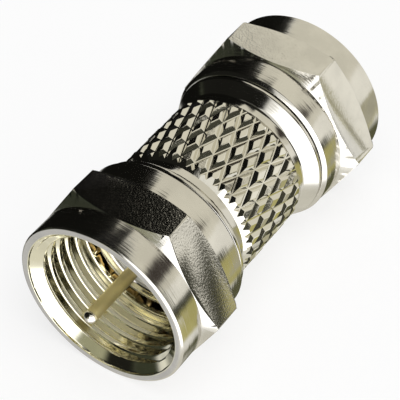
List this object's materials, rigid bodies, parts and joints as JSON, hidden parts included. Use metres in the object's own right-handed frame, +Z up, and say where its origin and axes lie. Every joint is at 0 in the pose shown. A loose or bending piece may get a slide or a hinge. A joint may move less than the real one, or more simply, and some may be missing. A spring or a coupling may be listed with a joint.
{
  "type": "f connector",
  "caption": "Double-ended F coaxial adapter: two free-turning hexagon coupling nuts with threaded sockets on a knurled barrel, joined by one solid contact pin.",
  "frame": {"origin": "middle of the adapter, on the axis of its barrel", "axes": "+X along the axis towards end B, +Z up with the adapter lying on the lower flats of its nuts"},
  "size_m": [0.0242, 0.0128, 0.011],
  "materials": {
    "barrel_plating": "nickel plated brass, knurled and turned",
    "nut_plating": "nickel plated brass, turned and milled",
    "spring_bronze": "spring bronze, plain",
    "insulator_polymer": "white fluoropolymer, smooth",
    "pin_plating": "brass, polished tip and drawn shaft"
  },
  "bodies": {
    "barrel": {"barrel": "barrel_plating", "contact_pin": "pin_plating", "insulator_a": "insulator_polymer", "insulator_b": "insulator_polymer", "snap_ring_a": "spring_bronze", "snap_ring_b": "spring_bronze"},
    "nut_a": {"coupling_nut_a": "nut_plating"},
    "nut_b": {"coupling_nut_b": "nut_plating"}
  },
  "joints": [
    {"name": "nut_a_turn", "type": "hinge", "parent": "barrel", "child": "nut_a", "pos_m": [-0.008, 0, 0], "axis": [1, 0, 0], "continuous": true},
    {"name": "nut_b_turn", "type": "hinge", "parent": "barrel", "child": "nut_b", "pos_m": [0.008, 0, 0], "axis": [1, 0, 0], "continuous": true}
  ]
}
